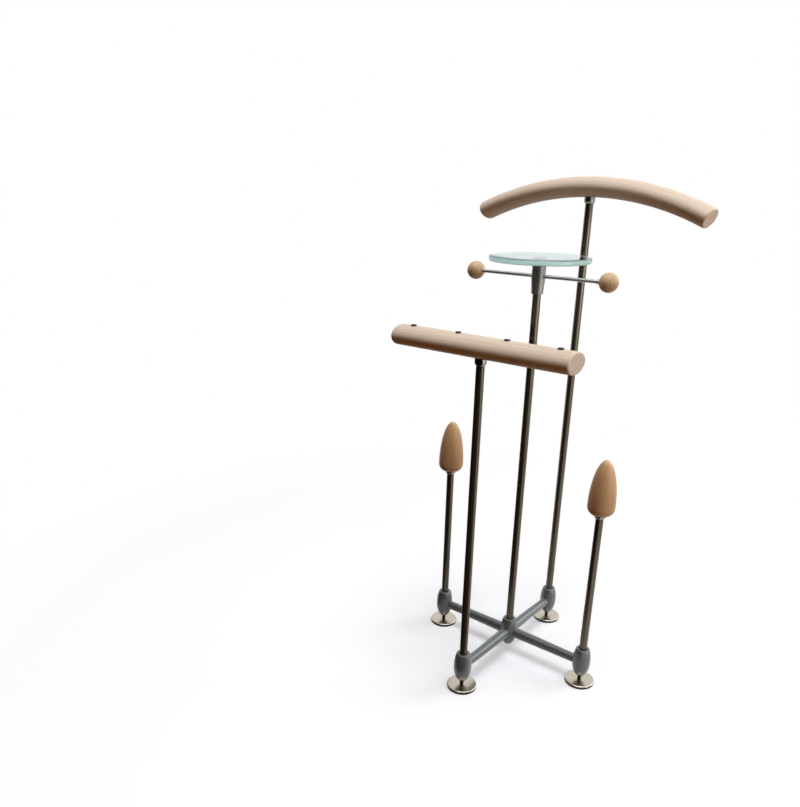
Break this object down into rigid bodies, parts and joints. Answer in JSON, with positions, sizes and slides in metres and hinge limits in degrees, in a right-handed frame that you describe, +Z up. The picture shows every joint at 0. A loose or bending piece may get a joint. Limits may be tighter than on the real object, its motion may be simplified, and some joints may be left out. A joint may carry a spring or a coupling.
{
  "type": "valet stand",
  "caption": "Free-standing valet stand: a cross base on levelling feet, rods, a swivelling jacket hanger, trouser bar and glass dish with a tie bar, and shoe forms.",
  "frame": {"origin": "on the floor, under the middle rod", "axes": "+Z up, +X along the trouser bar to the user's right, -Y to the front where the trouser bar is"},
  "size_m": [0.4956, 0.422, 1.0047],
  "materials": {
    "grey_paint": "satin grey paint on a casting",
    "dark_nickel": "polished black nickel plate",
    "polished_chrome": "polished",
    "satin_nickel": "satin nickel plate",
    "stem_steel": "plain plated thread",
    "foot_rubber": "matte",
    "beech": "pale beech under a satin lacquer",
    "oiled_beech": "warm oiled beech",
    "dish_glass": "clear with a green edge",
    "button_rubber": "smooth black",
    "clear_pad": "soft clear vinyl",
    "plated_steel": "zinc plate",
    "turned_brass": "turned",
    "bearing_plastic": "natural acetal"
  },
  "bodies": {
    "stand": {"base_casting": "grey_paint", "front_rod": "dark_nickel", "centre_rod": "dark_nickel", "rear_rod": "dark_nickel", "left_shoe_rod": "dark_nickel", "right_shoe_rod": "dark_nickel", "rod_foot_plugs": "plated_steel", "rod_screws": "plated_steel", "foot_thread_bushes": "turned_brass", "swivel_bushes": "bearing_plastic", "thrust_washers": "bearing_plastic", "shoe_rod_plugs": "plated_steel", "left_shoe_form": "oiled_beech", "right_shoe_form": "oiled_beech", "shoe_form_collars": "polished_chrome", "shoe_form_studs": "plated_steel", "shoe_form_inserts": "turned_brass"},
    "hanger": {"jacket_hanger": "beech", "hanger_ferrule": "polished_chrome", "hanger_insert": "turned_brass", "hanger_pivot_stud": "plated_steel", "hanger_retaining_clip": "plated_steel"},
    "trouser_bar": {"trouser_bar": "beech", "trouser_grip_buttons": "button_rubber", "trouser_ferrule": "polished_chrome", "trouser_insert": "turned_brass", "trouser_pivot_stud": "plated_steel", "trouser_retaining_clip": "plated_steel"},
    "dish": {"dish_hub": "polished_chrome", "glass_dish": "dish_glass", "dish_pad": "clear_pad", "tie_bar": "polished_chrome", "tie_ball_collars": "polished_chrome", "left_tie_ball": "beech", "right_tie_ball": "beech", "tie_grub_screw": "plated_steel", "hub_pivot_stud": "plated_steel", "hub_retaining_clip": "plated_steel"},
    "front_foot_stem": {"front_foot_stem": "stem_steel"},
    "front_foot_disc": {"front_foot_disc": "satin_nickel", "front_foot_pad": "foot_rubber"},
    "rear_foot_stem": {"rear_foot_stem": "stem_steel"},
    "rear_foot_disc": {"rear_foot_disc": "satin_nickel", "rear_foot_pad": "foot_rubber"},
    "left_foot_stem": {"left_foot_stem": "stem_steel"},
    "left_foot_disc": {"left_foot_disc": "satin_nickel", "left_foot_pad": "foot_rubber"},
    "right_foot_stem": {"right_foot_stem": "stem_steel"},
    "right_foot_disc": {"right_foot_disc": "satin_nickel", "right_foot_pad": "foot_rubber"}
  },
  "joints": [
    {"name": "hanger_swivel", "type": "hinge", "parent": "stand", "child": "hanger", "pos_m": [0, 0.18, 0.97], "axis": [0, 0, 1], "continuous": true},
    {"name": "trouser_bar_swivel", "type": "hinge", "parent": "stand", "child": "trouser_bar", "pos_m": [0, -0.18, 0.702], "axis": [0, 0, 1], "range_deg": [-75, 75]},
    {"name": "dish_swivel", "type": "hinge", "parent": "stand", "child": "dish", "pos_m": [0, 0, 0.827], "axis": [0, 0, 1], "continuous": true},
    {"name": "front_foot_climb", "type": "slide", "parent": "stand", "child": "front_foot_stem", "axis": [0, 0, 1], "range_m": [0, 0.007]},
    {"name": "front_foot_turn", "type": "hinge", "parent": "front_foot_stem", "child": "front_foot_disc", "pos_m": [0, -0.18, 0.007], "axis": [0, 0, 1], "range_deg": [0, 2016]},
    {"name": "rear_foot_climb", "type": "slide", "parent": "stand", "child": "rear_foot_stem", "axis": [0, 0, 1], "range_m": [0, 0.007]},
    {"name": "rear_foot_turn", "type": "hinge", "parent": "rear_foot_stem", "child": "rear_foot_disc", "pos_m": [0, 0.18, 0.007], "axis": [0, 0, 1], "range_deg": [0, 2016]},
    {"name": "left_foot_climb", "type": "slide", "parent": "stand", "child": "left_foot_stem", "axis": [0, 0, 1], "range_m": [0, 0.007]},
    {"name": "left_foot_turn", "type": "hinge", "parent": "left_foot_stem", "child": "left_foot_disc", "pos_m": [-0.18, 0, 0.007], "axis": [0, 0, 1], "range_deg": [0, 2016]},
    {"name": "right_foot_climb", "type": "slide", "parent": "stand", "child": "right_foot_stem", "axis": [0, 0, 1], "range_m": [0, 0.007]},
    {"name": "right_foot_turn", "type": "hinge", "parent": "right_foot_stem", "child": "right_foot_disc", "pos_m": [0.18, 0, 0.007], "axis": [0, 0, 1], "range_deg": [0, 2016]}
  ],
  "couplings": [
    {"joint": "front_foot_climb", "follows": "front_foot_turn", "m_per_rad": 0.00019894},
    {"joint": "rear_foot_climb", "follows": "rear_foot_turn", "m_per_rad": 0.00019894},
    {"joint": "left_foot_climb", "follows": "left_foot_turn", "m_per_rad": 0.00019894},
    {"joint": "right_foot_climb", "follows": "right_foot_turn", "m_per_rad": 0.00019894}
  ]
}
